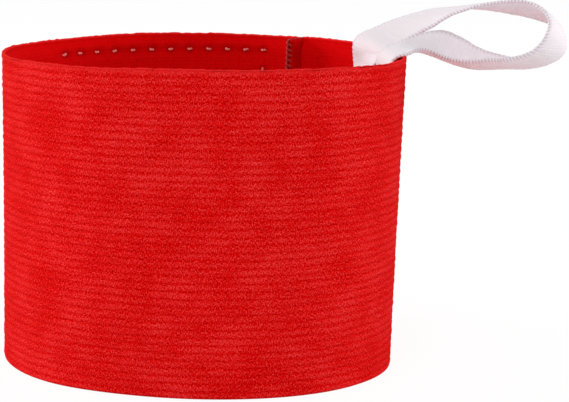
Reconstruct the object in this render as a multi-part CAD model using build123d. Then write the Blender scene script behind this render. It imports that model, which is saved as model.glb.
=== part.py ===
from build123d import *
import os
from math import asin, cos, sin, radians, degrees

# Wrist pin cushion: a band of ribbed elastic webbing that slips over the hand, a stuffed
# rectangular pin pad stitched to its outer side, and a twisted tape loop sewn inside the rim.
# Millimetres. +Z is up, the origin is on the wrist's axis at the band's lower edge, +X points
# to the side that carries the loop, and the pad is at the back, on the +Y side.

# ---- elastic band ----
band_height = 50.0           # width of the webbing, standing as the band's height
band_thickness = 1.4
ring_radius = 31.6           # mean outer radius of the rim
oval_depth = 1.7             # how far the worn-in oval swells along its long direction
egg_depth = 0.7              # extra swell at one end of the oval
square_depth = 0.3           # slight squaring of the sides
long_direction = -37.0       # degrees from +X, direction of the oval's fuller end
foot_scale = 0.975           # the lower edge is this much smaller than the rim
foot_shift = -1.6            # the lower edge sits this far along X from the rim's centre
ring_points = 24             # points on each rim curve

# ---- closing seam of the band ----
seam_angle = 58.5            # degrees from +X
seam_allowance = 3.0         # how far the two joined ends turn inwards
seam_ply = 1.0               # one turned-in end, pressed by the stitching
seam_stitch_pitch = 4.0
seam_stitch_length = 2.6
seam_stitch_slant = 55.0     # degrees from level
seam_block_depth = 9.0       # the turned-in ends are cut from blocks this deep, towards the wrist
seam_block_overrun = 1.0     # and this much longer than the band at each edge

# ---- pin pad ----
pad_angle = 106.5            # degrees from +X to the pad's middle
stitch_pitch = 3.5           # along the rim
stitch_columns = 12          # stitches in the top and bottom rows
stitch_rows = 14             # stitches in each side column
stitch_margin = 2.7          # from the webbing's edge to the row of stitches
stitch_length = 2.4
thread_width = 0.55
thread_height = 0.4
flange_margin = 1.3          # cloth outside the row of stitches
dome_margin = 1.6            # from the row of stitches to the stuffed dome
pad_rise = 11.0              # dome's height above the flange
dome_fullness = 4.0          # 2 is an ellipsoid, higher is squarer with tighter shoulders
dome_sections = [0.0, 0.25, 0.5, 0.72, 0.88]  # shares of the way to the dome's side
flat_share = 0.55            # height of the flat part of the outermost sections, as a share
section_points = 9           # points over the dome in each section
layer_sections = 13          # sections of the flat layers under the dome
bobbin_show = 1.0            # how much of each stitch shows on the lining
cover_ply = 0.6
backing_ply = 0.8
guard_ply = 0.5
guard_margin = 4.0           # from the dome's wall to the needle guard's edge
lay_gap = 0.1                # between two cloths that lie on each other
stuffing_gap = 0.3

# ---- tape loop ----
tape_width = 9.5
tape_ply = 0.6
tape_end_length = 11.0       # sewn length of each end, down the inside of the band
tape_end_block = 20.0        # depth of the block that cuts a sewn end from its layer
tape_root_drop = 0.55        # the free tape starts this far below the rim
tape_root_gap = 0.8          # room for the fold between a sewn end and the free tape
inner_end_angle = 20.5       # degrees from +X to the middle of each sewn end
outer_end_angle = 1.5
loop_angle = 11.0            # degrees from +X to the rim point that the loop is placed from
tape_sections = 34
tack_rows = 4
tack_first_drop = 3.0        # from the rim to the first tack stitch
tack_pitch = 2.6
tack_length = 5.6
tack_gap = 0.2               # between the tape's face and the tack stitches

# The free tape's middle line, from the inner end over the top and back to the outer end.
# Each station: place of the middle from the rim point, then yaw and tilt of the line across the tape.
tape_stations = [
    ((-4.30, 3.67, -0.55), 26.0, 0.0),
    ((-4.20, 3.77, 0.30), 26.0, 0.0),
    ((-3.30, 3.97, 0.75), 28.0, 0.0),
    ((-1.50, 4.17, 1.30), 30.0, 2.0),
    ((0.30, 4.27, 2.00), 29.0, 3.5),
    ((3.90, 3.97, 3.50), 25.0, 5.0),
    ((8.10, 3.07, 5.20), 18.4, 1.0),
    ((12.36, 1.77, 6.44), 12.1, -4.8),
    ((16.75, 0.07, 6.82), 8.0, -11.6),
    ((21.15, -2.13, 6.54), 4.4, -17.0),
    ((24.80, -4.63, 5.20), -4.3, -11.0),
    ((26.11, -7.03, 3.01), -22.0, -4.8),
    ((25.50, -8.43, 0.56), -37.0, -7.2),
    ((21.69, -8.63, -1.34), -38.0, -9.5),
    ((17.60, -7.83, -1.51), -26.0, -4.0),
    ((14.02, -6.43, -1.49), -19.0, 4.2),
    ((10.61, -5.03, -0.67), -16.0, 12.0),
    ((7.43, -4.03, 0.30), -12.8, 18.0),
    ((4.39, -4.13, 0.97), -2.0, 12.0),
    ((1.90, -4.83, 1.20), 8.0, 6.0),
    ((-0.05, -5.03, 1.0), 11.5, 2.0),
    ((-0.95, -4.98, 0.40), 13.0, 0.0),
    ((-1.0, -4.93, -0.55), 13.0, 0.0),
]


def wall_radius(angle):
    turn = radians(angle - long_direction)
    return ring_radius + oval_depth * cos(2 * turn) + egg_depth * cos(3 * turn) + square_depth * cos(4 * turn)


def wall_point(angle, height, outward=0.0):
    """A point on the band's outer face, or this far outward of it."""
    down = 1 - height / band_height
    radius = wall_radius(angle) * (1 - (1 - foot_scale) * down) + outward
    shift = foot_shift * down
    return Vector(shift + radius * cos(radians(angle)), radius * sin(radians(angle)), height)


def wall_frame(angle, height, outward=0.0):
    """X runs along the wall, Y up it, Z away from the wrist."""
    ahead = wall_point(angle + 1, height) - wall_point(angle - 1, height)
    out = ahead.cross(Vector(0, 0, 1))
    return Plane(origin=wall_point(angle, height, outward), x_dir=ahead, z_dir=out)


def rim_wire(height, outward):
    step = 360 / ring_points
    points = [wall_point(i * step, height, outward) for i in range(ring_points)]
    return Wire([Edge.make_spline(points, periodic=True)])


def tube_solid(outward, low=0.0, high=band_height):
    return Solid.make_loft([rim_wire(low, outward), rim_wire(high, outward)])


def shell(inner, outer, low=0.0, high=band_height):
    """The layer between two distances from the band's outer face."""
    return tube_solid(outer, low, high) - tube_solid(inner, low, high)


def angle_step(length, angle):
    """Degrees of turn that cover a length along the wall."""
    return degrees(length / wall_radius(angle))


def pad_point(along, height, outward):
    """A point over the pad, this far along the level tangent at its middle."""
    shrink = 1 - (1 - foot_scale) * (1 - height / band_height)
    turn = 0.0
    for _ in range(10):
        turn = degrees(asin(along / (wall_radius(pad_angle + turn) * shrink + outward)))
    return wall_point(pad_angle + turn, height, outward)


# ---- sizes that follow from the ones above ----
inner_face = -band_thickness
half_span = angle_step(stitch_pitch * (stitch_columns - 1) / 2, pad_angle)
row_height = band_height - 2 * stitch_margin
backing_in = lay_gap
backing_out = backing_in + backing_ply
cover_in = backing_out + lay_gap
cover_out = cover_in + cover_ply
chord = 2 * (wall_radius(pad_angle) + cover_out) * sin(radians(half_span))
flange_width = chord + 2 * flange_margin
flange_height = row_height + 2 * flange_margin
dome_width = chord - 2 * dome_margin
dome_height = row_height - 2 * dome_margin
pad_out = Vector(cos(radians(pad_angle)), sin(radians(pad_angle)), 0)
pad_along = Vector(-sin(radians(pad_angle)), cos(radians(pad_angle)), 0)
dome_half = dome_width / 2
dome_half_height = dome_height / 2

parts = {}


def band():
    """The webbing's closed ring, with its two joined ends turned in side by side."""
    webbing = shell(inner_face, 0.0)
    frame = wall_frame(seam_angle, 0.0, inner_face)
    lean = wall_point(seam_angle, band_height, inner_face) - wall_point(seam_angle, 0, inner_face)
    reach = shell(inner_face - seam_allowance, inner_face / 2)
    foot = Plane(origin=frame.origin, x_dir=frame.x_dir, z_dir=lean)
    block_length = band_height + 2 * seam_block_overrun
    for side in (-1, 1):
        place = foot * Location((side * (seam_ply + lay_gap) / 2, 0, -seam_block_overrun))
        ply = extrude(place * Rectangle(seam_ply, seam_block_depth), block_length) & reach
        webbing = webbing + ply
    return webbing


def bar(frame, length, across, high):
    """A stitch: a short run of thread lying on the frame's XY plane, along its X."""
    return frame * Location((0, 0, high / 2)) * Box(length, across, high)


def seam_thread():
    """Zigzag over the free edges of the turned-in ends."""
    stitches = []
    count = int((band_height - seam_stitch_pitch) / seam_stitch_pitch)
    for i in range(count):
        height = (i + 1) * band_height / (count + 1)
        frame = wall_frame(seam_angle, height, inner_face - seam_allowance - lay_gap - thread_height)
        slanted = frame * Location((0, 0, 0), (0, 0, 1), seam_stitch_slant)
        stitches.append(bar(slanted, seam_stitch_length, thread_width, thread_height))
    return Compound(stitches)


def stitch_places():
    """Angle, height and direction (True when it runs up the wall) of each stitch of the pad."""
    places = []
    low, high = stitch_margin, band_height - stitch_margin
    for i in range(stitch_columns):
        angle = pad_angle + half_span * (1 - 2 * i / (stitch_columns - 1))
        places += [(angle, low, False), (angle, high, False)]
    for i in range(1, stitch_rows - 1):
        height = low + (high - low) * i / (stitch_rows - 1)
        places += [(pad_angle - half_span, height, True), (pad_angle + half_span, height, True)]
    return places


def pad_thread(outward, show):
    """One side of the lock stitch that holds the pad, all round."""
    stitches = []
    for angle, height, upright in stitch_places():
        frame = wall_frame(angle, height, outward)
        length, across = (thread_width, show) if upright else (show, thread_width)
        stitches.append(bar(frame, length, across, thread_height))
    return Compound(stitches)


def pad_layer(inner, outer, width, height):
    """A cloth or plate that follows the wall, as upright strips from side to side."""
    low, high = band_height / 2 - height / 2, band_height / 2 + height / 2
    rings = []
    for i in range(layer_sections):
        along = width * (1 / 2 - i / (layer_sections - 1))
        corners = [(low, inner), (high, inner), (high, outer), (low, outer)]
        rings.append(Wire.make_polygon([pad_point(along, level, out) for level, out in corners]))
    return Solid.make_loft(rings, ruled=True)


def dome_curve(along, base, rise, half_width, half_height):
    """The dome's outline in one upright section: its points from the lower edge to the upper."""
    share = min(abs(along) / half_width, 1.0)
    left = 1 - share ** dome_fullness
    reach = max(left ** (1 / dome_fullness), flat_share)
    points = []
    for i in range(section_points):
        v = -reach * cos(radians(180 * i / (section_points - 1)))
        room = max(left - abs(v) ** dome_fullness, 0.0) ** (1 / dome_fullness)
        points.append(pad_point(along, band_height / 2 + v * half_height, base + rise * room))
    return points


def pad_cover():
    """A stitched-down flange and the hollow dome, as upright sections from side to side."""
    sides = [flange_width / 2, dome_half, dome_half - cover_ply]
    sides += [share * dome_half for share in reversed(dome_sections)]
    places = sides[:-1] + [-side for side in reversed(sides)]
    low, high = band_height / 2 - flange_height / 2, band_height / 2 + flange_height / 2
    rings = []
    for along in places:
        outer = dome_curve(along, cover_out, pad_rise, dome_half, dome_half_height)
        inner = dome_curve(along, cover_in, pad_rise, dome_half - cover_ply, dome_half_height - cover_ply)
        bottom_in, bottom_out = pad_point(along, low, cover_in), pad_point(along, low, cover_out)
        top_in, top_out = pad_point(along, high, cover_in), pad_point(along, high, cover_out)
        rings.append(Wire.make_polygon([bottom_in, *inner, top_in, top_out, *reversed(outer), bottom_out]))
    return Solid.make_loft(rings, ruled=True)


def pad_filling():
    """The stuffing, flat on the guard and as full as the cover lets it be."""
    base = guard_out + stuffing_gap
    rise = cover_out + pad_rise - cover_ply - stuffing_gap - base
    half_width = dome_half - cover_ply - stuffing_gap
    half_height = dome_half_height - cover_ply - stuffing_gap
    sides = [share * half_width for share in reversed(dome_sections)]
    rings = []
    for along in sides[:-1] + [-side for side in reversed(sides)]:
        curve = dome_curve(along, base, rise, half_width, half_height)
        rings.append(Wire.make_polygon(curve))
    return Solid.make_loft(rings, ruled=True)


def tape_frames():
    """Middle, line across and face normal at even steps along the free tape."""
    places = [wall_point(loop_angle, band_height) + Vector(*offset) for offset, _, _ in tape_stations]
    middle = Edge.make_spline(places)
    lengths = [middle.param_at_point(place) for place in places]
    frames = []
    for i in range(tape_sections):
        t = i / (tape_sections - 1)
        yaw = blend_at(lengths, [station[1] for station in tape_stations], t)
        tilt = blend_at(lengths, [station[2] for station in tape_stations], t)
        across = Vector(-sin(radians(yaw)) * cos(radians(tilt)), cos(radians(yaw)) * cos(radians(tilt)),
                        sin(radians(tilt)))
        ahead = middle.tangent_at(t)
        frames.append((middle.position_at(t), across, ahead.cross(across).normalized()))
    return frames


def blend_at(places, values, t):
    """The value at t, eased between the two stations around it."""
    for i in range(len(places) - 1):
        if t <= places[i + 1] or i == len(places) - 2:
            share = (t - places[i]) / (places[i + 1] - places[i])
            return values[i] + (values[i + 1] - values[i]) * min(max(share, 0), 1)


def hanging_loop():
    rings = []
    for place, across, normal in tape_frames():
        half, ply = across * (tape_width / 2), normal * (tape_ply / 2)
        corners = [place - half - ply, place + half - ply, place + half + ply, place - half + ply]
        rings.append(Wire.make_polygon(corners, close=True))
    return Solid.make_loft(rings, ruled=True)


def tape_end(angle, layer):
    """A sewn end of the tape, flat on the inside of the band."""
    out = inner_face - lay_gap - layer * (tape_ply + lay_gap)
    top = band_height - tape_root_drop - tape_root_gap
    low = top - tape_end_length
    block = wall_frame(angle, (top + low) / 2, 0) * Box(tape_width, tape_end_length, tape_end_block)
    return shell(out - tape_ply, out) & block


def tack_thread():
    """Rows of stitches through each sewn end, on the tape inside and on the webbing outside."""
    stitches = []
    for angle, layer in ((inner_end_angle, 1), (outer_end_angle, 0)):
        on_tape = inner_face - (layer + 1) * (tape_ply + lay_gap) - tack_gap - thread_height
        for row in range(tack_rows):
            height = band_height - tack_first_drop - row * tack_pitch
            for outward in (on_tape, lay_gap):
                frame = wall_frame(angle, height, outward)
                stitches.append(bar(frame, tack_length, thread_width, thread_height))
    return Compound(stitches)


guard_in = cover_in
guard_out = guard_in + guard_ply
guard_width = dome_width - 2 * cover_ply - 2 * guard_margin
guard_height = dome_height - 2 * cover_ply - 2 * guard_margin

parts["elastic_band"] = band()
parts["band_seam_thread"] = seam_thread()
parts["pad_backing"] = pad_layer(backing_in, backing_out, flange_width, flange_height)
parts["needle_guard"] = pad_layer(guard_in, guard_out, guard_width, guard_height)
parts["pad_filling"] = pad_filling()
parts["pad_cover"] = pad_cover()
parts["pad_needle_thread"] = pad_thread(cover_out + lay_gap, stitch_length)
parts["pad_bobbin_thread"] = pad_thread(inner_face - lay_gap - thread_height, bobbin_show)
parts["tape_end_inner"] = tape_end(inner_end_angle, 1)
parts["tape_end_outer"] = tape_end(outer_end_angle, 0)
parts["loop_tack_thread"] = tack_thread()
parts["hanging_loop"] = hanging_loop()

os.makedirs("parts", exist_ok=True)
for name, shape in parts.items():
    export_step(shape, f"parts/{name}.step")
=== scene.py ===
import math
import bpy
import numpy as np
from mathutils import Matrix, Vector


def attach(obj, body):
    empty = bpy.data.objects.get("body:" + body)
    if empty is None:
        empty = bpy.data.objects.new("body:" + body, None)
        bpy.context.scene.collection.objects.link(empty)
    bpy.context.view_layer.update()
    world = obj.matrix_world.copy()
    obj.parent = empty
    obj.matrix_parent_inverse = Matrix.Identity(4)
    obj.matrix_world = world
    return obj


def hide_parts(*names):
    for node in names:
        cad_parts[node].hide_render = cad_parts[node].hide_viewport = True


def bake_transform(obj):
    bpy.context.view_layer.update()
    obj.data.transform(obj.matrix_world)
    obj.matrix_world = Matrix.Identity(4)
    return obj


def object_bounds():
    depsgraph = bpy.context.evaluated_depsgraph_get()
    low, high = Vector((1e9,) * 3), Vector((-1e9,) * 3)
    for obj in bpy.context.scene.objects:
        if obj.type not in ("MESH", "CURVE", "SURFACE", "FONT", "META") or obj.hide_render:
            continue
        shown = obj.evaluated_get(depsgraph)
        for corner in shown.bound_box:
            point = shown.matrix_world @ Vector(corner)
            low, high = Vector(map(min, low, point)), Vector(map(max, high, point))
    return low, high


# Lengths are millimetres, turned into metres where a mesh is made. The places of the camera,
# the lamps and the blend are metres. Angles round the ring are degrees from +X.
MM = 0.001

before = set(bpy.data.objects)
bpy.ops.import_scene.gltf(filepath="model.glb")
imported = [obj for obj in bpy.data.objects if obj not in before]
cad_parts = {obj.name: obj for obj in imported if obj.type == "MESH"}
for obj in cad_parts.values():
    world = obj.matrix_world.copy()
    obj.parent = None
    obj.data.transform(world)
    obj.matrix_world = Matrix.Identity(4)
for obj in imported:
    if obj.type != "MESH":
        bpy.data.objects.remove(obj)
cad_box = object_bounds()
scene = bpy.context.scene


def face(obj, place, aim):
    """Stands a camera or lamp at place, turned towards aim."""
    obj.location = place
    obj.rotation_euler = (Vector(aim) - Vector(place)).to_track_quat("-Z", "Y").to_euler()


# ---- camera ----
camera_data = bpy.data.cameras.new("camera")
camera_data.sensor_fit = "HORIZONTAL"
camera_data.sensor_width = 36.0
camera_data.lens = 130.9
camera_data.clip_start = 0.01
camera_data.clip_end = 50.0
camera = bpy.data.objects.new("camera", camera_data)
face(camera, (0.01277, -0.33307, 0.08292), (0.01277, 0.0, 0.02539))
scene.collection.objects.link(camera)
scene.camera = camera

# ---- sizes of the worn ring ----
HEIGHT = 50.0
THICKNESS = 1.4
RIM_RADIUS = 31.6  # mean outer radius at the rim
OVAL, EGG, SQUARE = 1.7, 0.7, 0.3  # depths of the rim's oval, its fuller end and its squaring
LONG_DIRECTION = -37.0  # of the oval's fuller end
LEFT_SWELL, LEFT_FOCUS = 0.8, 5.0  # depth and narrowness of a swell away from the loop
FOOT_SCALE, FOOT_SHIFT = 0.975, -1.4  # the lower edge beside the rim: its size, its place along X
RIBS = 42
RIB_PITCH = HEIGHT / RIBS
RIM_EDGE = 0.6  # the webbing thins to this at its rim
SEAM_ANGLE, SEAM_DEPTH, SEAM_PLY = 58.5, 3.0, 1.0  # the closing seam and its turned-in ends

# ---- sizes of the pad ----
PAD_ANGLE = 106.5
STITCH_PITCH, STITCH_COLUMNS, STITCH_ROWS = 3.5, 12, 14
STITCH_MARGIN = 2.7  # from the webbing's edge to the row of stitches
COVER_IN, COVER_PLY = 1.0, 0.6  # from the webbing to the cover's underside, and its cloth
COVER_OUT = COVER_IN + COVER_PLY
PAD_RISE, PAD_CORNER, DOME_ROUNDING = 11.0, 9.0, 7.5
FLANGE_MARGIN, DOME_MARGIN = 1.3, 1.6  # from the row of stitches out to the hem, in to the dome

# ---- sizes of the tape ----
TAPE_WIDTH, TAPE_PLY = 9.5, 0.6
TAPE_ROOT, TAPE_ROOT_GAP, TAPE_END_LENGTH = 49.45, 0.8, 11.0  # a root's height, then down to the cut
TAPE_LAY = 0.1  # between a sewn end and what it lies on
INNER_END_ANGLE, OUTER_END_ANGLE = 16.5, -6.0
PICOT, PICOT_REACH, PICOT_ROOT = 0.62, 0.16, 0.26  # loops along the tape's edges: pitch, size, inset
TAPE_BODY = TAPE_WIDTH / 2 - 0.34  # half width of the plain weave between the edges
TAPE_STEP = 0.16  # between the rows of points along the tape


def unit(v):
    v = np.asarray(v, float)
    return v / np.linalg.norm(v, axis=-1, keepdims=True)


def wall_radius(angle):
    """Outer radius of the rim. The swell away from the loop isn't in the solids."""
    angle = np.asarray(angle, float)
    turn = np.radians(angle - LONG_DIRECTION)
    swell = LEFT_SWELL * np.exp(-LEFT_FOCUS * (1 + np.cos(np.radians(angle))))
    return RIM_RADIUS + OVAL * np.cos(2 * turn) + EGG * np.cos(3 * turn) + SQUARE * np.cos(4 * turn) + swell


def ring_share(height):
    """Size of the ring at a height, beside the rim's."""
    return 1 - (1 - FOOT_SCALE) * (1 - height / HEIGHT)


def wall(angle, height, outward=0.0):
    """Points on the band's outer face, or this far outward of it."""
    values = (np.asarray(value, float) for value in (angle, height, outward))
    angle, height, outward = np.broadcast_arrays(*values)
    radius = wall_radius(angle) * ring_share(height) + outward
    turn = np.radians(angle)
    shift = FOOT_SHIFT * (1 - height / HEIGHT)
    return np.stack([shift + radius * np.cos(turn), radius * np.sin(turn), height], -1)


def wall_axes(angle, height):
    """Directions along the wall, up it and away from the wrist, at one point."""
    ahead = unit(wall(angle + 1, height) - wall(angle - 1, height))
    out = unit(np.cross(ahead, (0.0, 0.0, 1.0)))
    return ahead, np.cross(out, ahead), out


def soft_noise(shape, row_size, column_size, seed):
    """Smooth random field that wraps round, with unit deviation."""
    field = np.random.default_rng(seed).standard_normal(shape)
    rows = np.fft.fftfreq(shape[0])[:, None]
    columns = np.fft.fftfreq(shape[1])[None, :]
    keep = np.exp(-2 * np.pi ** 2 * ((rows * row_size) ** 2 + (columns * column_size) ** 2))
    out = np.fft.ifft2(np.fft.fft2(field) * keep).real
    return out / out.std()


def hill(value, width):
    """1 where the value is 0, falling to 0 over a few widths."""
    return np.exp(-(value / width) ** 2)


def run_along(points):
    """Length from the first point to each point of a line."""
    return np.concatenate([[0], np.cumsum(np.linalg.norm(np.diff(points, axis=0), axis=1))])


def smooth_line(points, places, spots):
    """Natural cubic curve through points at places, read at spots."""
    points, places = np.asarray(points, float), np.asarray(places, float)
    count = len(places)
    gaps = np.diff(places)
    system = np.eye(count)
    right = np.zeros_like(points)
    for i in range(1, count - 1):
        system[i, i - 1:i + 2] = gaps[i - 1], 2 * (gaps[i - 1] + gaps[i]), gaps[i]
        right[i] = 6 * ((points[i + 1] - points[i]) / gaps[i] - (points[i] - points[i - 1]) / gaps[i - 1])
    bends = np.linalg.solve(system, right)
    spots = np.asarray(spots, float)
    at = np.clip(np.searchsorted(places, spots, side="right") - 1, 0, count - 2)
    gap, before, after = gaps[at], places[at + 1] - spots, spots - places[at]
    if points.ndim == 2:
        gap, before, after = gap[:, None], before[:, None], after[:, None]
    return (bends[at] * before ** 3 / (6 * gap) + bends[at + 1] * after ** 3 / (6 * gap)
            + (points[at] / gap - bends[at] * gap / 6) * before
            + (points[at + 1] / gap - bends[at + 1] * gap / 6) * after)


# ---- meshes ----
def shade_smooth(mesh):
    mesh.polygons.foreach_set("use_smooth", np.ones(len(mesh.polygons), dtype=bool))


def make_mesh(name, points, faces, uv, marks):
    """A smooth mesh object from millimetre points. uv and marks hold one value per point."""
    mesh = bpy.data.meshes.new(name)
    mesh.from_pydata((np.asarray(points, float) * MM).tolist(), [], faces)
    mesh.update()
    layer = mesh.uv_layers.new(name="cloth")
    corner = np.empty(len(mesh.loops), dtype=np.int32)
    mesh.loops.foreach_get("vertex_index", corner)
    layer.data.foreach_set("uv", np.asarray(uv, np.float32)[corner].ravel())
    for key, values in marks.items():
        mark = mesh.attributes.new(key, "FLOAT", "POINT")
        mark.data.foreach_set("value", np.asarray(values, np.float32).ravel())
    shade_smooth(mesh)
    obj = bpy.data.objects.new(name, mesh)
    scene.collection.objects.link(obj)
    return obj


def read_points(mesh, key="co"):
    """The mesh's points in metres, or their normals."""
    values = np.empty(len(mesh.vertices) * 3)
    mesh.vertices.foreach_get(key, values)
    return values.reshape(-1, 3)


def write_points(mesh, points):
    mesh.vertices.foreach_set("co", points.ravel())
    mesh.update()


def grid_faces(rows, columns, wrap_rows=False, wrap_columns=False):
    r = np.arange(rows if wrap_rows else rows - 1)[:, None]
    c = np.arange(columns if wrap_columns else columns - 1)[None, :]
    r2, c2 = (r + 1) % rows, (c + 1) % columns
    corners = (r * columns + c, r * columns + c2, r2 * columns + c2, r2 * columns + c)
    return np.stack(np.broadcast_arrays(*corners), -1).reshape(-1, 4).tolist()


def tube_faces(rows, sides):
    """Faces of a row of rings, closed at both ends."""
    last = (rows - 1) * sides
    ends = [list(range(sides))[::-1], [last + i for i in range(sides)]]
    return grid_faces(rows, sides, wrap_columns=True) + ends


class Pile:
    """Collects several shells into one mesh."""

    def __init__(self):
        self.points, self.faces, self.uv, self.marks = [], [], [], {}
        self.count = 0

    def add(self, points, faces, uv=None, **marks):
        points = np.asarray(points, float)
        shape = points.shape[:-1]
        uv = np.zeros((*shape, 2)) if uv is None else np.asarray(uv, float)
        self.faces += [[i + self.count for i in corners] for corners in faces]
        self.points.append(points.reshape(-1, 3))
        self.uv.append(uv.reshape(-1, 2))
        for key, values in marks.items():
            self.marks.setdefault(key, []).append(np.broadcast_to(values, shape).ravel())
        self.count += int(np.prod(shape))

    def make(self, name):
        marks = {key: np.concatenate(values) for key, values in self.marks.items()}
        return make_mesh(name, np.concatenate(self.points), self.faces, np.concatenate(self.uv), marks)


ASKEW = (0.31, 0.17, 0.94)  # a direction that no thread runs along


def sweep(pile, line, radius, sides, twist, ply):
    """A closed tube along a line of points, with two plies that twist round each other.

    twist is in radians for each millimetre, and ply is the groove's depth as a share of radius.
    """
    line = np.asarray(line, float)
    ahead = unit(np.gradient(line, axis=0))
    side = unit(np.cross(ahead, ASKEW))
    up = np.cross(side, ahead)
    radius = np.broadcast_to(radius, len(line)).astype(float)
    spots = np.arange(sides) * 2 * np.pi / sides
    run = run_along(line)
    swell = 1 + ply * np.cos(2 * (spots[None, :] - twist * run[:, None]))
    ring = np.cos(spots)[None, :, None] * side[:, None] + np.sin(spots)[None, :, None] * up[:, None]
    points = line[:, None] + ring * (swell * radius[:, None])[..., None]
    uv = np.stack(np.broadcast_arrays(spots[None, :] / (2 * np.pi), run[:, None]), -1)
    pile.add(points, tube_faces(len(line), sides), uv)


# ---- materials ----
WHITE = (1, 1, 1, 1)


def colour(red, green, blue):
    """Linear colour from the screen's 0 to 255."""
    parts = []
    for value in (red, green, blue):
        share = value / 255
        parts.append(share / 12.92 if share <= 0.04045 else ((share + 0.055) / 1.055) ** 2.4)
    return (*parts, 1.0)


class Value:
    """A node's output, so that sums of outputs are written as sums."""

    def __init__(self, nodes, socket):
        self.nodes, self.socket = nodes, socket

    def __add__(self, other):
        return self.nodes.math("ADD", self, other)

    def __radd__(self, other):
        return self.nodes.math("ADD", other, self)

    def __sub__(self, other):
        return self.nodes.math("SUBTRACT", self, other)

    def __mul__(self, other):
        return self.nodes.math("MULTIPLY", self, other)

    def __truediv__(self, other):
        return self.nodes.math("DIVIDE", self, other)

    def __abs__(self):
        return self.nodes.math("ABSOLUTE", self)


class Nodes:
    """Adds nodes to the tree of a material or of the world."""

    def __init__(self, owner):
        owner.use_nodes = True
        self.tree = owner.node_tree

    def add(self, kind, inputs=(), **settings):
        made = self.tree.nodes.new("ShaderNode" + kind)
        for key, value in settings.items():
            setattr(made, key, value)
        for key, value in dict(inputs).items():
            self.put(made.inputs[key], value)
        return made

    def node(self, kind, inputs=(), output=0, **settings):
        return Value(self, self.add(kind, inputs, **settings).outputs[output])

    def put(self, socket, value):
        if isinstance(value, Value):
            self.tree.links.new(value.socket, socket)
        else:
            socket.default_value = value

    def math(self, operation, first, second=0.0):
        return self.node("Math", {0: first, 1: second}, operation=operation)

    def backdrop_share(self):
        """1 for rays that show the picture, straight or by metal or glass, and 0 for light."""
        path = self.add("LightPath")
        camera, glossy, through = (Value(self, path.outputs[f"Is {ray} Ray"])
                                   for ray in ("Camera", "Glossy", "Transmission"))
        return self.math("MAXIMUM", self.math("MAXIMUM", camera, glossy), through)


class Finish(Nodes):
    """A piece's material, built from nodes."""

    def __init__(self, name, roughness, specular, **constants):
        self.material = bpy.data.materials.new(name)
        super().__init__(self.material)
        self.shader = self.tree.nodes["Principled BSDF"]
        self.shader.inputs["Roughness"].default_value = roughness
        self.shader.inputs["Specular IOR Level"].default_value = specular
        for key, value in constants.items():
            self.shader.inputs[key.replace("_", " ")].default_value = value

    def fract(self, value):
        return self.math("FRACT", value)

    def waves(self, value, length):
        return self.math("SINE", value * (2 * math.pi / length))

    def ramp(self, value, low, high, out_low=0.0, out_high=1.0):
        return self.node("MapRange", {0: value, 1: low, 2: high, 3: out_low, 4: out_high}, clamp=True)

    def mix(self, share, first, second):
        return self.node("Mix", {0: share, 6: first, 7: second}, 2, data_type="RGBA")

    def mark(self, name):
        return self.node("Attribute", (), "Fac", attribute_name=name)

    def cloth(self):
        """Millimetres across and along the cloth."""
        split = self.add("SeparateXYZ", {0: self.node("UVMap", uv_map="cloth")})
        return Value(self, split.outputs[0]), Value(self, split.outputs[1])

    def place(self):
        """The point on the object, in millimetres."""
        where = self.node("TexCoord", (), "Object")
        return self.node("VectorMath", {0: where, "Scale": 1 / MM}, operation="SCALE")

    def noise(self, vector, scale, detail=3.0, roughness=0.55):
        inputs = {"Vector": vector, "Scale": scale, "Detail": detail, "Roughness": roughness}
        return self.node("TexNoise", inputs)

    def join(self, x, y, z=0.0):
        return self.node("CombineXYZ", {0: x, 1: y, 2: z})

    def bump(self, height, distance):
        bumped = self.node("Bump", {"Height": height, "Distance": distance * MM, "Strength": 1.0})
        self.put(self.shader.inputs["Normal"], bumped)

    def base(self, value):
        self.put(self.shader.inputs["Base Color"], value)


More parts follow.
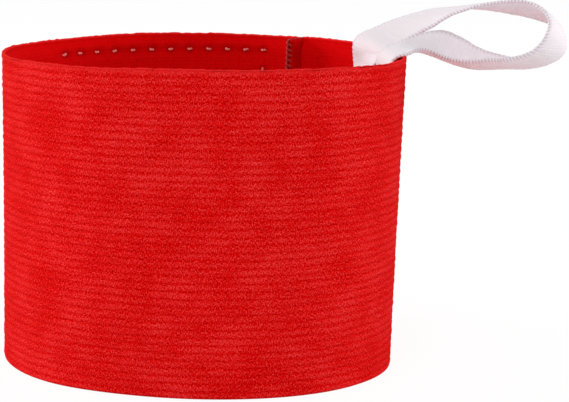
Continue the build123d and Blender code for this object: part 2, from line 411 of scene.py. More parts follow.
def webbing_finish():
    """Ribbed elastic webbing: plush looped ribs outside, flat knit inside."""
    red_sheen = {"Sheen_Weight": 0.45, "Sheen_Roughness": 0.35, "Sheen_Tint": colour(255, 30, 30)}
    look = Finish("red_webbing", 0.9, 0.02, **red_sheen)
    u, v = look.cloth()
    rib, inside, rim, pull = (look.mark(name) for name in ("rib", "inside", "rim", "pull"))
    wobble = look.noise(look.join(u, v, 3.0), 0.9, 3.0) - 0.5
    stray = look.noise(look.join(u, v, 9.0), 1.7, 2.0) - 0.5
    row = v / RIB_PITCH + stray * 0.35

    # yarn loops: a zigzag along each rib, shifted by chance from rib to rib
    offset = look.node("TexWhiteNoise", {"W": look.math("FLOOR", row)}, "Value", noise_dimensions="1D")
    zigzag = abs(look.fract(u / 0.92 + (offset + wobble * 1.3)) * 2.0 - 1.0)
    gap = abs(look.fract(row) - (0.14 + zigzag * 0.72))
    loops = look.ramp(gap, 0.04, 0.42, 1.0, 0.0)

    fuzz = look.noise(look.join(u, v), 4.2, 3.0)
    tufts = look.noise(look.join(u * 1.3, v, 5.0), 1.5, 2.0)
    patches = look.noise(look.join(u, v, 12.0), 0.16, 3.0)
    fine = look.noise(look.join(u * 6.4, v * 3.4, 7.0), 1.0, 2.0, 0.75)
    # painted shade: the rib mark is 0 in the grooves and 1 on the crests, so the grooves are coloured darker
    # and the crests lighter, more strongly in some patches
    groove_shade_patches = look.ramp(patches, 0.35, 0.65, 0.1, 0.34)
    outer = rib * groove_shade_patches + loops * look.ramp(tufts, 0.3, 0.7, 0.02, 0.26)
    outer = outer + (fuzz - 0.5) * 1.2 + (fine - 0.4) * 4.2 + (patches - 0.5) * 0.25
    # deep: the dark red in the grooves is painted shade, among random darker specks of the yarn. bright: the
    # pink on the loop tops is partly a painted highlight and partly lighter specks of the yarn
    deep = look.mix(look.ramp(outer, -0.05, 0.5), colour(176, 0, 0), colour(236, 0, 0))
    bright = look.mix(look.ramp(outer, 0.66, 1.3), deep, colour(255, 72, 72))

    knit = (look.waves(u, 0.5) + look.waves(row, 0.5)) * 0.1
    flat = knit * 0.5 + (tufts - 0.5)
    lining = look.mix(look.ramp(flat, -0.35, 0.45), colour(208, 2, 4), colour(230, 5, 9))
    # painted shade: the stitch dimples and the turned-in seam ends (the pull mark) are coloured a darker red
    lining = look.mix(pull * 0.6, lining, colour(150, 0, 2))
    both = look.mix(inside, bright, lining)
    # painted highlight: the rim and the top half millimetre of the outer face are coloured a lighter pink
    # where the top edge catches the light
    look.base(look.mix(rim * 0.75, both, colour(246, 44, 44)))
    raised = loops * 0.35 + (fuzz + fine)
    woven = knit + fuzz * 0.3
    look.bump(look.node("Mix", {0: inside, 2: raised, 3: woven}, data_type="FLOAT"), 0.12)
    return look.material


def thread_finish(name, light, dark, roughness=0.6):
    """Twisted thread."""
    look = Finish(name, roughness, 0.35, Sheen_Weight=0.2, Sheen_Roughness=0.4)
    u, v = look.cloth()
    twist = look.math("SINE", u * (4 * math.pi) + v * 9.0)
    fibre = look.noise(look.join(u * 6.0, v * 1.2), 3.0, 4.0)
    share = twist * 0.25 + fibre
    look.base(look.mix(look.ramp(share, 0.2, 0.8), dark, light))
    look.bump(share, 0.05)
    return look.material


def tape_finish():
    """Narrow woven tape: cross ribs and a looped edge."""
    look = Finish("white_tape", 0.62, 0.35, Sheen_Weight=0.15, Sheen_Roughness=0.35)
    u, v = look.cloth()
    weave = look.waves(v, 0.42) * (0.8 + look.waves(u, 0.34) * 0.35)
    fuzz = look.noise(look.join(u, v), 4.0, 3.0)
    plain_share = look.ramp(weave * 0.1 + fuzz, 0.15, 0.8)
    plain = look.mix(plain_share, colour(244, 232, 239), colour(252, 247, 250))
    # painted shade: the tape's edge is coloured grey-pink in the gaps between the loops and near white on
    # their tops
    looped = look.mix(look.mark("pico"), colour(216, 201, 212), colour(250, 244, 249))
    look.base(look.mix(look.mark("edge"), plain, looped))
    look.bump(weave * 0.15 + fuzz, 0.05)
    return look.material


def cotton_finish():
    """Plain-woven cotton of the pad's cover."""
    look = Finish("white_cotton", 0.85, 0.25, Sheen_Weight=0.2, Sheen_Roughness=0.5)
    u, v = look.cloth()
    weave = look.waves(u, 0.5) * look.waves(v, 0.5)
    slub = look.noise(look.join(u * 0.25, v * 3.0), 1.2, 3.0)
    fuzz = look.noise(look.join(u, v), 3.5, 3.0)
    share = weave * 0.16 + (slub + fuzz) * 0.5
    look.base(look.mix(look.ramp(share, 0.25, 0.75), colour(216, 211, 203), colour(242, 239, 233)))
    look.bump(share, 0.12)
    return look.material


def felt_finish():
    """Pressed felt of the pad's backing."""
    look = Finish("white_felt", 0.95, 0.15, Sheen_Weight=0.4, Sheen_Roughness=0.6)
    where = look.place()
    fibre = look.noise(where, 2.2, 6.0, 0.7)
    clump = look.noise(where, 0.4, 2.0)
    share = fibre + (clump - 0.5) * 0.4
    look.base(look.mix(look.ramp(share, 0.3, 0.7), colour(205, 200, 192), colour(238, 235, 229)))
    look.bump(share, 0.2)
    return look.material


def guard_finish():
    """Moulded polypropylene sheet."""
    look = Finish("guard_plastic", 0.42, 0.5)
    where = look.place()
    grain = look.noise(where, 3.0, 4.0)
    cloud = look.noise(where, 0.15, 2.0)
    look.base(look.mix(look.ramp(cloud, 0.35, 0.65), colour(196, 200, 202), colour(214, 217, 218)))
    look.put(look.shader.inputs["Roughness"], look.ramp(grain, 0.3, 0.7, 0.36, 0.5))
    look.bump(grain, 0.02)
    return look.material


def stuffing_finish():
    """Loose polyester stuffing."""
    look = Finish("stuffing", 0.95, 0.15, Sheen_Weight=0.3, Sheen_Roughness=0.6)
    where = look.place()
    fibre = look.noise(where, 1.6, 7.0, 0.75)
    tuft = look.noise(where, 0.3, 3.0)
    share = fibre + (tuft - 0.5) * 0.8
    look.base(look.mix(look.ramp(share, 0.3, 0.75), colour(205, 203, 198), colour(244, 243, 240)))
    look.bump(share, 0.5)
    return look.material


webbing_red = webbing_finish()
seam_red = thread_finish("red_thread", colour(206, 40, 38), colour(140, 10, 10), 0.85)
thread_white = thread_finish("white_thread", colour(250, 246, 246), colour(200, 188, 190))
# the bobbin's thread is white; its pink colour is painted red light, bounced from the lining all round it
thread_pink = thread_finish("white_thread_inside", colour(255, 158, 150), colour(236, 98, 92))
tape_white = tape_finish()
cotton_white = cotton_finish()
felt_white = felt_finish()
guard_grey = guard_finish()
stuffing_white = stuffing_finish()

# ---- where the pad's stitches are ----
STITCH_SPAN = STITCH_PITCH * (STITCH_COLUMNS - 1)
HALF_SPAN = np.degrees(STITCH_SPAN / 2 / wall_radius(PAD_ANGLE))


def stitch_places():
    """Angle, height and whether it runs up the wall, for each stitch round the pad."""
    places = []
    low, high = STITCH_MARGIN, HEIGHT - STITCH_MARGIN
    for i in range(STITCH_COLUMNS):
        angle = PAD_ANGLE + HALF_SPAN * (1 - 2 * i / (STITCH_COLUMNS - 1))
        places += [(angle, low, False), (angle, high, False)]
    for i in range(1, STITCH_ROWS - 1):
        height = low + (high - low) * i / (STITCH_ROWS - 1)
        places += [(PAD_ANGLE - HALF_SPAN, height, True), (PAD_ANGLE + HALF_SPAN, height, True)]
    return places


# ---- elastic webbing ----
RIB_PHASES = np.array([0.0, 0.15, 0.38, 0.62, 0.85])  # where a rib's rows of points are
GROOVE_DEPTH, TUFT_DEPTH, RIB_DRIFT = 0.095, 0.035, 0.015  # between ribs, of the plush, of a rib
RIM_ROLL, FOOT_ROLL = 0.3, 0.35  # half heights of the two rounded edges
RIM_TAPER = 1.3  # height over which the lining comes to full thickness
WIDE_COLUMNS, CLOSE_COLUMNS = 318, 29  # of points, round the ring and again at the seam
CLOSE_SPAN, CLEAR_SPAN = 3.2, 3.4  # degrees beside the seam: close columns, no wide ones
CREASE_DEPTH, CREASE_WIDTH = 0.85, 0.55  # of the closing seam's line on the outer face
DIP_DEPTH, DIP_WIDTH = 0.30, 2.2  # of the whole wall at the seam
RIM_NOTCH = 0.55  # how far the rim drops at the seam
DENT_DEPTH = 0.34  # of the dimples that the pad's stitches pull into the lining


def webbing_columns():
    """Angles of the columns of points round the ring."""
    wide = np.linspace(0, 360, WIDE_COLUMNS, endpoint=False)
    close = SEAM_ANGLE + np.linspace(-CLOSE_SPAN, CLOSE_SPAN, CLOSE_COLUMNS)
    return np.sort(np.concatenate([wide[np.abs(wide - SEAM_ANGLE) > CLEAR_SPAN], close]))


def webbing_section():
    """Height, outward place and part of each point round the wall's section."""
    outer_z = (np.arange(RIBS)[:, None] + RIB_PHASES[None, :]).ravel() * RIB_PITCH
    outer_z = outer_z[outer_z > 0.2]
    rim_turn = np.radians([22, 55, 90, 125, 158])
    rim_out = -RIM_EDGE / 2 + RIM_EDGE / 2 * np.cos(rim_turn)
    rim_z = HEIGHT - RIM_ROLL + RIM_ROLL * np.sin(rim_turn)
    # the lining's rows are closer near the rim, where the photo shows it
    near_rim = np.linspace(HEIGHT - RIM_ROLL, HEIGHT - 5.5, 15)
    inner_z = np.concatenate([near_rim, np.linspace(HEIGHT - 6.3, 0.3, 42)])
    inner_out = -THICKNESS + (THICKNESS - RIM_EDGE) * hill(HEIGHT - RIM_ROLL - inner_z, RIM_TAPER)
    foot_turn = np.radians([205, 250, 290, 335])
    foot_out = -THICKNESS / 2 + THICKNESS / 2 * np.cos(foot_turn)
    foot_z = FOOT_ROLL + FOOT_ROLL * np.sin(foot_turn)

    heights = (outer_z, rim_z, inner_z, foot_z)
    outs = (np.zeros_like(outer_z), rim_out, inner_out, foot_out)
    parts = np.repeat(("outer", "rim", "inner", "foot"), [len(stretch) for stretch in heights])
    return np.concatenate(heights), np.concatenate(outs), parts


def stitch_dents(angles, heights):
    """How far the pad's stitches pull each point of the lining, 1 at a stitch."""
    dents = np.zeros_like(heights)
    for angle, height, _ in stitch_places():
        away = np.radians(angles - angle) * wall_radius(angle)
        dents += np.exp(-(away[None, :] / 0.85) ** 2 - ((heights - height) / 0.7) ** 2)
    span = np.abs(angles - PAD_ANGLE) < HALF_SPAN + 1
    for height in (STITCH_MARGIN, HEIGHT - STITCH_MARGIN):
        dents += 0.35 * hill(heights - height, 0.6) * span[None, :]
    return dents


def webbing():
    """The knitted wall, one closed skin round the ring, and its two turned-in ends."""
    angles = webbing_columns()
    z, out, parts = webbing_section()
    outer, is_rim, is_inner = ((parts == part)[:, None] for part in ("outer", "rim", "inner"))
    rows, columns = len(z), len(angles)
    z = np.repeat(z[:, None], columns, 1)
    out = np.repeat(out[:, None], columns, 1)
    flat_z = z.copy()

    # plush ribs outside, fine lines inside
    phase = (flat_z / RIB_PITCH) % 1
    crest = np.abs(np.sin(np.pi * phase)) ** 0.8
    plush = soft_noise((rows, columns), 0.45, 0.55, 1) * 0.5 + soft_noise((rows, columns), 1.6, 0.7, 2) * 0.6
    rib_index = np.clip((flat_z / RIB_PITCH).astype(int), 0, RIBS)
    drift = soft_noise((RIBS + 1, columns), 0.1, 3.0, 3)[rib_index, np.arange(columns)[None, :]]
    out += np.where(outer, -GROOVE_DEPTH * (1 - crest) + crest * (TUFT_DEPTH * plush + RIB_DRIFT * drift), 0)
    z += np.where(outer, 0.035 * drift + 0.03 * plush, 0)
    lines = 0.014 * np.cos(2 * np.pi * phase)
    fade = np.clip((HEIGHT - flat_z) / 2.0, 0, 1)
    out += np.where(is_inner, lines * fade + 0.012 * plush, 0)

    # worn-in waves of the whole wall, and a rim that is never quite level
    waves = soft_noise((1, columns), 0.1, 9.0, 4)[0]
    tall_waves = soft_noise((3, columns), 0.1, 12.0, 5)
    climb = np.pi * flat_z / HEIGHT
    wall_wave, rim_wave, foot_wave, edge_zone = 0.10, 0.10, 0.12, 4
    out += wall_wave * (np.cos(climb) * tall_waves[0] + np.sin(climb) * tall_waves[1])
    near_top = np.clip((flat_z - HEIGHT + edge_zone) / edge_zone, 0, 1)
    near_foot = np.clip((edge_zone - flat_z) / edge_zone, 0, 1)
    z += rim_wave * waves * near_top - foot_wave * tall_waves[2] * near_foot
    teeth = np.random.default_rng(6).standard_normal(columns)
    z += is_rim * (0.04 * teeth)
    out += is_rim * (0.03 * np.roll(teeth, 7))

    # the seam: both ends turn inwards along a crease
    off_seam = np.radians(angles - SEAM_ANGLE) * wall_radius(SEAM_ANGLE)
    crease = hill(off_seam, CREASE_WIDTH)
    out += np.where(outer, -CREASE_DEPTH * crease, 0) - DIP_DEPTH * hill(off_seam, DIP_WIDTH)
    z -= is_rim * (RIM_NOTCH * crease)

    dents = stitch_dents(angles, flat_z)
    out += np.where(is_inner, DENT_DEPTH * dents, 0)

    points = wall(angles[None, :], z, out)
    uv = np.stack(np.broadcast_arrays(np.radians(angles)[None, :] * RIM_RADIUS, flat_z), -1)
    # rib is 1 on the crests and 0 in the grooves; the finish paints shade into the grooves from it
    rib = np.where(outer, crest, 0.6)
    # rim marks the painted highlight along the top edge: 1 on the rim, 0.5 on the top half millimetre of the
    # outer face
    rim = np.where(is_rim, 1.0, 0.0) + np.where(outer & (flat_z > HEIGHT - 0.5), 0.5, 0)
    inside = np.where(is_inner | is_rim, 1.0, 0.0)
    # pull also carries painted shade: the finish colours the dimples darker
    pull = np.where(is_inner, np.clip(dents, 0, 1), 0)

    pile = Pile()
    pile.add(points, grid_faces(rows, columns, True, True), uv, rib=rib, inside=inside, rim=rim, pull=pull)
    for side in (-1, 1):
        seam_flap(pile, side)
    obj = pile.make("webbing")
    obj.data.materials.append(webbing_red)
    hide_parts("elastic_band")
    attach(obj, "band")


def boxy(value):
    """A sine or cosine pushed towards 1 and -1, for a rounded box instead of a circle."""
    return np.sign(value) * np.abs(value) ** 0.6


def seam_flap(pile, side):
    """One turned-in end of the webbing, a pressed ply with a soft edge."""
    rows, sides = 140, 20
    heights = np.linspace(0.25, HEIGHT - 0.35, rows)
    turn = np.linspace(0, 2 * np.pi, sides, endpoint=False)
    wander = soft_noise((rows, 1), 5.0, 0.1, 20 + side)[:, 0]
    fray = soft_noise((rows, sides), 0.7, 0.5, 24 + side)
    points = np.zeros((rows, sides, 3))
    for i, height in enumerate(heights):
        along, _, out = wall_axes(SEAM_ANGLE, height)
        root = wall(SEAM_ANGLE, height, -THICKNESS + 0.4)
        deep = SEAM_DEPTH + 0.35 + 0.12 * wander[i]
        across = boxy(np.cos(turn)) * (SEAM_PLY / 2 + 0.02 * fray[i])
        depth = deep / 2 - boxy(np.sin(turn)) * (deep / 2 + 0.04 * fray[i])
        lean = 0.12 * wander[i] * depth / deep
        offset = side * (SEAM_PLY + 0.06) / 2
        points[i] = root - out * depth[:, None] + along * (across + offset + lean)[:, None]
    uv = np.stack(np.broadcast_arrays(turn[None, :] * 1.3, heights[:, None]), -1)
    # pull=0.75 paints shade on the turned-in end, in the narrow fold inside the seam
    pile.add(points, tube_faces(rows, sides), uv, rib=0.3, inside=1.0, rim=0.0, pull=0.75)


webbing()


# ---- stitches ----
THREAD_TWIST, THREAD_GROOVE = 5.2, 0.14


def stitch(pile, centre, along, out, length, radius, rise, sink, seed):
    """One stitch: a short arc of thread whose ends dive into the cloth."""
    share = np.linspace(-1, 1, 13)
    skew = 0.06 * np.random.default_rng(seed).standard_normal()
    side = np.cross(out, along)
    lift = rise - (rise + sink) * np.abs(share) ** 3.2
    line = (centre + along * (share * length / 2)[:, None] + out * lift[:, None]
            + side * (share * skew)[:, None])
    sweep(pile, line, radius, 10, THREAD_TWIST, THREAD_GROOVE)


def pad_thread(name, node, outward, visible, radius, rise, seed, finish):
    """The stitches round the pad, as seen on one face of the work."""
    pile = Pile()
    for i, (angle, height, upright) in enumerate(stitch_places()):
        along, up, out = wall_axes(angle, height)
        towards = out if outward > 0 else -out
        centre = wall(angle, height, outward)
        stitch(pile, centre, up if upright else along, towards, visible, radius, rise, 0.35, seed + i)
    obj = pile.make(name)
    obj.data.materials.append(finish)
    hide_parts(node)
    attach(obj, "band")


LINING_SINK = -THICKNESS + DENT_DEPTH  # the dimples' floor, where the bobbin thread lies
pad_thread("pad_needle_stitches", "pad_needle_thread", COVER_OUT, 2.7, 0.24, 0.2, 100, thread_white)
pad_thread("pad_bobbin_stitches", "pad_bobbin_thread", LINING_SINK, 0.62, 0.2, 0.16, 200, thread_pink)


def seam_thread():
    """Overcast thread over the turned-in edges, with the trimmed ends at the rim."""
    pile = Pile()
    rng = np.random.default_rng(7)
    count, trimmed_ends = 56, 11
    half_width, depth, slope = 0.42, 0.75, 0.3  # of each turn of thread over the edges
    turn = np.linspace(-1.25, 1.25, 15) * np.pi / 2
    for i in range(count):
        height = 1.0 + (HEIGHT - 2.0) * i / (count - 1)
        along, up, out = wall_axes(SEAM_ANGLE, height)
        tip = wall(SEAM_ANGLE, height, -THICKNESS - SEAM_DEPTH - 0.1)
        climb = turn * slope + 0.05 * rng.standard_normal()
        line = (tip + along * (np.sin(turn) * half_width)[:, None]
                - out * ((np.cos(turn) - 0.6) * depth)[:, None] + up * climb[:, None])
        sweep(pile, line, 0.17, 8, 5.0, 0.12)
    along, up, out = wall_axes(SEAM_ANGLE, HEIGHT - 1)
    share = np.linspace(0, 1, 8)
    for _ in range(trimmed_ends):
        root = wall(SEAM_ANGLE, HEIGHT - 1.2, -THICKNESS - SEAM_DEPTH * rng.uniform(0.1, 0.9))
        lean = rng.normal(0, 0.55, 2)
        length = rng.uniform(0.6, 1.1)
        line = (root + up * (share * length)[:, None] + along * (share ** 1.6 * lean[0])[:, None]
                + out * (share ** 1.6 * lean[1])[:, None])
        sweep(pile, line, 0.10 * (1 - 0.4 * share), 6, 4.0, 0.1)
    obj = pile.make("seam_overcast")
    obj.data.materials.append(seam_red)
    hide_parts("band_seam_thread")
    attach(obj, "band")


seam_thread()


# ---- hanging loop ----
# The free tape, from the inner root over the top and back to the outer root. Each station has
# the middle of the tape, yaw and tilt of the line across it, how far its edges curl back, and
# how far its middle sags outwards like a gutter.
STATIONS = [
    ((26.75, 7.70, 48.95), 31.0, 4.0, -0.2, 0.0),
    ((26.90, 7.85, 49.85), 31.0, 8.0, -0.1, 0.0),
    ((27.55, 8.20, 50.60), 30.0, 10.5, 0.0, 0.0),
    ((28.85, 8.80, 51.20), 29.0, 11.0, 0.0, 0.0),
    ((30.70, 9.30, 51.95), 28.0, 10.0, 0.0, 0.0),
    ((33.90, 9.60, 53.40), 25.0, 8.0, 0.0, 0.0),
    ((38.10, 8.90, 55.20), 18.4, 2.0, 0.0, 0.0),
    ((42.36, 7.60, 56.44), 12.1, -4.8, 0.0, 0.0),
    ((46.75, 5.90, 56.82), 8.0, -11.6, 0.0, 0.0),
    ((51.15, 3.70, 56.54), 4.4, -17.0, 0.0, 0.2),
    ((54.80, 1.20, 55.20), -4.3, -11.0, 0.0, 0.7),
    ((56.11, -1.20, 53.01), -22.0, -4.8, 0.0, 0.8),
    ((55.50, -2.60, 50.56), -37.0, -7.2, 0.0, 0.5),
    ((51.69, -2.80, 48.66), -38.0, -9.5, 0.0, 0.8),
    ((47.60, -2.00, 48.49), -26.0, -4.0, 0.3, 1.0),
    ((44.02, -0.60, 48.51), -19.0, 4.2, 0.7, 1.1),
    ((40.61, 0.80, 49.40), -16.0, 15.0, 0.9, 1.0),
    ((37.43, 0.90, 50.50), -7.0, 18.0, 0.8, 0.9),
    ((34.70, 0.10, 51.05), 3.0, 8.5, 0.3, 0.8),
    ((32.50, -1.50, 50.70), 10.0, 4.0, 0.1, 0.3),
    ((30.80, -2.85, 50.15), 14.0, 2.5, 0.0, 0.0),
    ((29.50, -3.35, 49.60), 13.0, 0.0, 0.0, 0.0),
    ((28.85, -3.35, 48.70), 11.0, 0.0, 0.0, 0.0),
    ((28.80, -3.40, 47.60), 9.0, 0.0, 0.2, 0.0),
]
WALL_CUP = 0.37  # how far a sewn end bends to follow the wall
OUTER_LAYER, INNER_LAYER = 0, 1  # the inner end is placed one tape further in than the outer end
FIRST_SEWN_HEIGHTS = {OUTER_LAYER: 45.4, INNER_LAYER: 47.8}


def sewn_end(angle, layer):
    """Stations down the inside of the band for one sewn end, from the root to the cut."""
    places = []
    out = -THICKNESS - TAPE_LAY - layer * (TAPE_PLY + TAPE_LAY) - TAPE_PLY / 2
    cup = -WALL_CUP if layer == INNER_LAYER else WALL_CUP
    for height in (FIRST_SEWN_HEIGHTS[layer], 43.4, 40.5, TAPE_ROOT - TAPE_END_LENGTH - TAPE_ROOT_GAP):
        along, _, _ = wall_axes(angle, height)
        yaw = math.degrees(math.atan2(-along[0], along[1]))
        places.append((tuple(wall(angle, height, out)), yaw, 0.0, cup, 0.0))
    return places


def tape_route():
    """Even steps along the tape: length run, middle, directions across and out, curl, gutter."""
    inner_end = sewn_end(INNER_END_ANGLE, INNER_LAYER)
    stations = inner_end[::-1] + STATIONS + sewn_end(OUTER_END_ANGLE, OUTER_LAYER)
    middles, yaws, tilts, cups, gutters = zip(*stations)
    places = run_along(np.array(middles))
    fine = np.linspace(0, places[-1], 4000)
    fine_run = run_along(smooth_line(middles, places, fine))
    rows = int(fine_run[-1] / TAPE_STEP)
    run = np.linspace(0, fine_run[-1], rows)
    spots = np.interp(run, fine_run, fine)
    line = smooth_line(middles, places, spots)
    yaw, tilt = (np.radians(smooth_line(values, places, spots)) for values in (yaws, tilts))
    cup, gutter = (smooth_line(values, places, spots) for values in (cups, gutters))
    across = np.stack([-np.sin(yaw) * np.cos(tilt), np.cos(yaw) * np.cos(tilt), np.sin(tilt)], -1)
    normal = unit(np.cross(unit(np.gradient(line, axis=0)), across))
    return run, line, across, normal, cup, gutter


def hanging_loop():
    """The whole tape in one piece, from the cut of one sewn end to the cut of the other."""
    run, line, across, normal, cup, gutter = tape_route()
    rows = len(run)

    # the section, once round: s is -1 to 1 across the tape, side is 1 outside and -1 inside
    half = 17
    one_way = np.linspace(-1, 1, half)
    s = np.concatenate([one_way, [1.0], one_way[::-1], [-1.0]])
    side = np.concatenate([np.ones(half), [0.0], -np.ones(half), [0.0]])
    edge = np.concatenate([np.zeros(half), [1.0], np.zeros(half), [1.0]])
    columns = len(s)

    # loops along the two edges, half a pitch apart
    loops_a = np.abs(np.sin(np.pi * run / PICOT)) ** 1.4
    loops_b = np.abs(np.sin(np.pi * (run / PICOT + 0.5))) ** 1.4
    uneven = soft_noise((rows, 2), 2.5, 0.1, 31)
    wide_a = TAPE_WIDTH / 2 - PICOT_ROOT + PICOT_REACH * loops_a + 0.05 * uneven[:, 0]
    wide_b = TAPE_WIDTH / 2 - PICOT_ROOT + PICOT_REACH * loops_b + 0.05 * uneven[:, 1]
    reach = np.where(s[None, :] >= 0, wide_a[:, None], wide_b[:, None])
    inset = np.clip((np.abs(s) - 0.92) / 0.08, 0, 1)[None, :]
    sideways = np.sign(s)[None, :] * (np.abs(s)[None, :] * TAPE_BODY * (1 - inset) + reach * inset)
    sideways = sideways + edge[None, :] * np.sign(s)[None, :] * 0.12

    ribs = 0.003 * np.cos(2 * np.pi * run / PICOT)[:, None] * (1 - inset)
    rough = 0.014 * soft_noise((rows, columns), 1.0, 0.7, 32)
    thick = (TAPE_PLY / 2) * (1 - 0.35 * inset) + ribs + rough
    ripple = 0.05 * soft_noise((rows, 1), 8.0, 0.1, 33) * (s ** 2)[None, :]
    lift = cup[:, None] * (s ** 2)[None, :] + ripple - gutter[:, None] * (1 - s ** 4)[None, :]
    points = (line[:, None] + across[:, None] * sideways[..., None]
              + normal[:, None] * (side[None, :] * thick - lift)[..., None])
    uv = np.stack(np.broadcast_arrays(sideways, run[:, None]), -1)
    at_edge = np.maximum(inset, edge[None, :]) * np.ones((rows, 1))
    looped = np.where(s[None, :] >= 0, loops_a[:, None], loops_b[:, None]) ** 1.5
    marks = {"edge": at_edge, "pico": looped}
    obj = make_mesh("loop_tape", points.reshape(-1, 3), tube_faces(rows, columns), uv.reshape(-1, 2), marks)
    obj.data.materials.append(tape_white)
    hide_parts("hanging_loop", "tape_end_inner", "tape_end_outer")
    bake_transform(obj)


hanging_loop()

TACK_ROWS, TACK_SPREAD = 4, 2.1
# each sewn end's angle and layer, the height of its first row and the pitch of its rows
TACKED_ENDS = ((INNER_END_ANGLE, INNER_LAYER, 45.4, 2.05), (OUTER_END_ANGLE, OUTER_LAYER, 45.0, 1.95))


def tack_stitches():
    """Rows of three stitches on each sewn end. Only the inner end's show on the band's outside."""
    pile = Pile()
    seed = 300
    for angle, layer, first, pitch in TACKED_ENDS:
        on_tape = -THICKNESS - (layer + 1) * (TAPE_PLY + TAPE_LAY)
        for row in range(TACK_ROWS):
            height = first - row * pitch
            along, _, out = wall_axes(angle, height)
            for step in (-1, 0, 1):
                seed += 1
                shift = along * (step * TACK_SPREAD)
                stitch(pile, wall(angle, height, on_tape) + shift, along, -out, 2.0, 0.2, 0.16, 0.3, seed)
                if layer == INNER_LAYER:
                    stitch(pile, wall(angle, height) + shift, along, out, 1.5, 0.16, 0.04, 0.4, seed + 50)
    obj = pile.make("tack_stitches")
    obj.data.materials.append(thread_white)
    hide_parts("loop_tack_thread")
    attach(obj, "band")


tack_stitches()

# ---- pin pad ----
CHORD = 2 * (wall_radius(PAD_ANGLE) + COVER_OUT) * math.sin(math.radians(HALF_SPAN))
ROW_HEIGHT = HEIGHT - 2 * STITCH_MARGIN
DOME = np.array([CHORD / 2 - DOME_MARGIN, ROW_HEIGHT / 2 - DOME_MARGIN])  # half sizes of its foot


def pad_place(x, y, out):
    """Points of the pad: x along the wall, y up from its middle, out from the webbing."""
    x, y, out = np.broadcast_arrays(x, y, out)
    height = HEIGHT / 2 + y
    turn = np.zeros_like(x, dtype=float)
    for _ in range(4):  # the radius depends on the angle, and a few rounds settle both
        radius = wall_radius(PAD_ANGLE + np.degrees(turn)) * ring_share(height) + out
        turn = np.arcsin(np.clip(x / radius, -0.95, 0.95))
    return wall(PAD_ANGLE + np.degrees(turn), height, out)


def rounded(u, v, size, corner):
    """Points of the square ring (u, v) moved to a rounded rectangle of half sizes size."""
    x, y = u * size[..., 0], v * size[..., 1]
    core_x = np.clip(x, -(size[..., 0] - corner), size[..., 0] - corner)
    core_y = np.clip(y, -(size[..., 1] - corner), size[..., 1] - corner)
    dx, dy = x - core_x, y - core_y
    far = np.maximum(np.hypot(dx, dy), 1e-9)
    reach = np.maximum(np.abs(dx), np.abs(dy))
    return core_x + dx / far * reach, core_y + dy / far * reach


def dome_sheet(count, rise, base, flange, rounding, inset=0.0):
    """Grid over the dome and its flange, in rings out from the middle.

    Gives x, y and out for pad_place, the run from the middle, and the run to the dome's foot.
    """
    axis = np.linspace(-1, 1, count)
    p, q = np.meshgrid(axis, axis)
    level = np.maximum(np.abs(p), np.abs(q))
    safe = np.maximum(level, 1e-9)
    dome = DOME - inset
    top = min(dome) - rounding
    bend = rounding * math.pi / 2
    side = max(rise - rounding, 0.2)
    crease = top + bend + side
    run = level * (crease + flange)
    on_top = np.clip(run / top, 0, 1)
    turn = np.clip((run - top) / bend, 0, 1) * math.pi / 2
    drop = np.clip((run - top - bend) / side, 0, 1) * side
    apron = np.clip(run - top - bend - side, 0, None)
    grow = rounding * np.sin(turn) + apron
    out = base + side + rounding * np.cos(turn) - drop
    size = np.stack([(dome[0] - rounding) * on_top + grow, (dome[1] - rounding) * on_top + grow], -1)
    most = np.minimum(size[..., 0], size[..., 1])
    corner = np.minimum(2.0 * on_top + np.minimum(grow, PAD_CORNER - 2.0), most)
    x, y = rounded(p / safe, q / safe, size, corner)
    return x, y, out, run, crease


def settle(obj, held, pressure, frames, cap, grow):
    """Cloth under pressure with some points held. No point of the mesh moves further than cap."""
    mesh = obj.data
    start = read_points(mesh)
    group = obj.vertex_groups.new(name="held")
    for index, weight in enumerate(held):
        if weight > 0:
            group.add([index], float(weight), "REPLACE")
    cloth = obj.modifiers.new("cloth", "CLOTH")
    settings = cloth.settings
    settings.quality = 5
    settings.mass = 0.2
    settings.tension_stiffness = 18
    settings.compression_stiffness = 12
    settings.shear_stiffness = 6
    settings.bending_stiffness = 0.6
    settings.vertex_group_mass = "held"
    settings.use_pressure = True
    settings.uniform_pressure_force = pressure
    settings.shrink_min = -grow
    settings.effector_weights.gravity = 0
    cloth.collision_settings.use_collision = False
    cloth.collision_settings.use_self_collision = False
    cloth.point_cache.frame_start = 1
    cloth.point_cache.frame_end = frames
    for number in range(1, frames + 1):
        scene.frame_set(number)
    moved = obj.evaluated_get(bpy.context.evaluated_depsgraph_get()).data
    shift = read_points(moved) - start
    far = np.linalg.norm(shift, axis=1, keepdims=True)
    shift *= cap * np.tanh(far / cap) / np.maximum(far, 1e-9)
    obj.modifiers.remove(cloth)
    obj.vertex_groups.clear()
    write_points(mesh, start + shift)
    scene.frame_set(1)


def apply_modifiers(obj):
    graph = bpy.context.evaluated_depsgraph_get()
    mesh = bpy.data.meshes.new_from_object(obj.evaluated_get(graph), depsgraph=graph)
    obj.modifiers.clear()
    obj.data = mesh


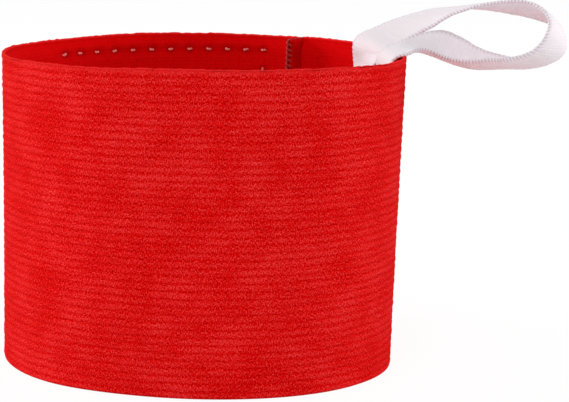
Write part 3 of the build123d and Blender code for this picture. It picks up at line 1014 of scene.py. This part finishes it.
def gather(obj, crease):
    """Puckers that fan out from the stitches, and a flange pressed down at each of them."""
    mesh = obj.data
    place = read_points(mesh) / MM
    normal = read_points(mesh, "normal")
    run = np.empty(len(mesh.vertices))
    mesh.attributes["run"].data.foreach_get("value", run)
    stitches = np.array([wall(angle, height, COVER_OUT) for angle, height, _ in stitch_places()])
    gaps = np.sort(np.linalg.norm(place[:, None] - stitches[None, :], axis=2), axis=1)
    nearest, second = gaps[:, 0], gaps[:, 1]
    between = (second - nearest) / np.maximum(second + nearest, 1e-6)
    from_line = np.abs(run - crease - DOME_MARGIN)
    fan = (1 - between) ** 2 - 0.35
    fade = np.exp(-np.clip(crease - run, 0, None) / 3.2) * (run < crease + 4)
    pucker, pull, groove, hem = 0.28, 0.32, 0.10, 0.14
    push = pucker * fan * fade
    push -= pull * hill(nearest, 1.0)
    push -= groove * hill(from_line, 0.5)
    push += hem * np.clip((run - crease - DOME_MARGIN - FLANGE_MARGIN * 0.35) / 0.4, 0, 1)
    write_points(mesh, (place + normal * push[:, None]) * MM)


def pad_cover():
    """Cotton over the stuffing, blown out a little, gathered at the stitches, with a flat hem."""
    count = 91
    big = 10.0  # the cloth settles at ten times its size, which suits the solver
    puff = 0.9  # of the rise is left for the pressure
    x, y, out, run, crease = dome_sheet(
        count, PAD_RISE - puff, COVER_OUT, FLANGE_MARGIN + DOME_MARGIN, DOME_ROUNDING)
    points = pad_place(x, y, out)
    down = np.clip(COVER_OUT + PAD_RISE - out, 0, None)
    off_middle = np.sign(x) * (np.abs(x) > 1e-6)
    uv = np.stack([x + off_middle * down * (np.abs(x) > np.abs(y) - 3),
                   y + np.sign(y) * down * (np.abs(y) > np.abs(x) - 3)], -1)
    faces = [corners[::-1] for corners in grid_faces(count, count)]
    obj = make_mesh("pad_cover_cloth", points.reshape(-1, 3) * big, faces, uv.reshape(-1, 2), {"run": run})
    held = np.clip((run - crease + 0.6) / 0.6, 0, 1)
    settle(obj, held.ravel(), pressure=4.0, frames=20, cap=1.6 * MM * big, grow=0.03)
    write_points(obj.data, read_points(obj.data) / big)
    finer = obj.modifiers.new("finer", "SUBSURF")
    finer.levels = finer.render_levels = 1
    apply_modifiers(obj)
    gather(obj, crease)
    thick = obj.modifiers.new("thick", "SOLIDIFY")
    thick.thickness = COVER_PLY * MM
    thick.offset = -1
    thick.use_even_offset = False
    apply_modifiers(obj)
    obj.data.materials.append(cotton_white)
    shade_smooth(obj.data)
    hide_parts("pad_cover")
    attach(obj, "band")


pad_cover()


def pad_filling():
    """The stuffing under the cover: a tufted wad with a flat side against the guard."""
    count = 61
    inset, top_room, floor_room, tighter = COVER_PLY + 0.55, 2.6, 1.0, 1.2  # inside the cover
    x, y, out, run, crease = dome_sheet(
        count, PAD_RISE - top_room, COVER_IN + floor_room, 0.0, DOME_ROUNDING - tighter, inset)
    tufts = soft_noise((count, count), 3.0, 3.0, 41)
    fine = soft_noise((count, count), 0.9, 0.9, 42)
    inner = np.clip((crease - run) / 2.0, 0, 1)
    out = out - 0.35 * inner * np.abs(tufts) + 0.08 * inner * fine
    upper = pad_place(x, y, out)
    lower = pad_place(x * 0.985, y * 0.985, COVER_IN + 0.8)
    pile = Pile()
    pile.add(upper, [corners[::-1] for corners in grid_faces(count, count)])
    pile.add(lower, grid_faces(count, count))

    # a strip joins the two sheets round their edges
    last = count - 1
    ring = [(0, i) for i in range(count)] + [(i, last) for i in range(1, count)]
    ring += [(last, i) for i in range(last - 1, -1, -1)] + [(i, 0) for i in range(last - 1, 0, -1)]
    rim = [row * count + column for row, column in ring]
    shift = count * count
    for a, b in zip(rim, rim[1:] + rim[:1]):
        pile.faces.append([a, b, b + shift, a + shift])
    obj = pile.make("pad_stuffing")
    obj.data.materials.append(stuffing_white)
    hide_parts("pad_filling")
    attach(obj, "band")


pad_filling()

for node, finish in (("pad_backing", felt_white), ("needle_guard", guard_grey)):
    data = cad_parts[node].data
    data.materials.clear()
    data.materials.append(finish)


# ---- floor, light and background ----
def backdrop():
    """A pale floor that keeps the object's shadow, and a white world that lights it softly."""
    reach, low = 6, cad_box[0][2]
    corners = [(-reach, -reach, low), (reach, -reach, low), (reach, reach, low), (-reach, reach, low)]
    floor_mesh = bpy.data.meshes.new("floor")
    floor_mesh.from_pydata(corners, [], [(0, 1, 2, 3)])
    floor = bpy.data.objects.new("floor", floor_mesh)
    scene.collection.objects.link(floor)
    pale = bpy.data.materials.new("pale_floor")
    nodes = Nodes(pale)
    nodes.tree.nodes.clear()
    lit = nodes.node("BsdfDiffuse", {"Color": (0.86, 0.86, 0.86, 1)})
    glow = nodes.node("Emission", {"Color": WHITE, "Strength": 1.06})
    mixed = nodes.node("MixShader", {0: nodes.backdrop_share() * 0.85, 1: lit, 2: glow})
    nodes.add("OutputMaterial", {"Surface": mixed})
    floor_mesh.materials.append(pale)

    world = bpy.data.worlds.new("studio")
    scene.world = world
    nodes = Nodes(world)
    nodes.tree.nodes.clear()
    soft = nodes.node("Background", {"Color": WHITE, "Strength": 0.47})
    white = nodes.node("Background", {"Color": WHITE, "Strength": 1.0})
    mixed = nodes.node("MixShader", {0: nodes.backdrop_share(), 1: soft, 2: white})
    nodes.add("OutputWorld", {"Surface": mixed})


def lamp(name, place, size, power):
    """A round soft lamp turned towards the band's middle."""
    data = bpy.data.lights.new(name, "AREA")
    data.shape = "DISK"
    data.size = size
    data.energy = power
    obj = bpy.data.objects.new(name, data)
    scene.collection.objects.link(obj)
    face(obj, place, (0, 0, 0.025))


backdrop()
lamp("key", (-0.20, -0.85, 0.55), 0.5, 2.95)
lamp("left", (-0.90, 0.28, 0.32), 0.45, 4.75)
lamp("right", (0.90, 0.26, 0.32), 0.45, 4.35)

scene.view_settings.view_transform = "Standard"
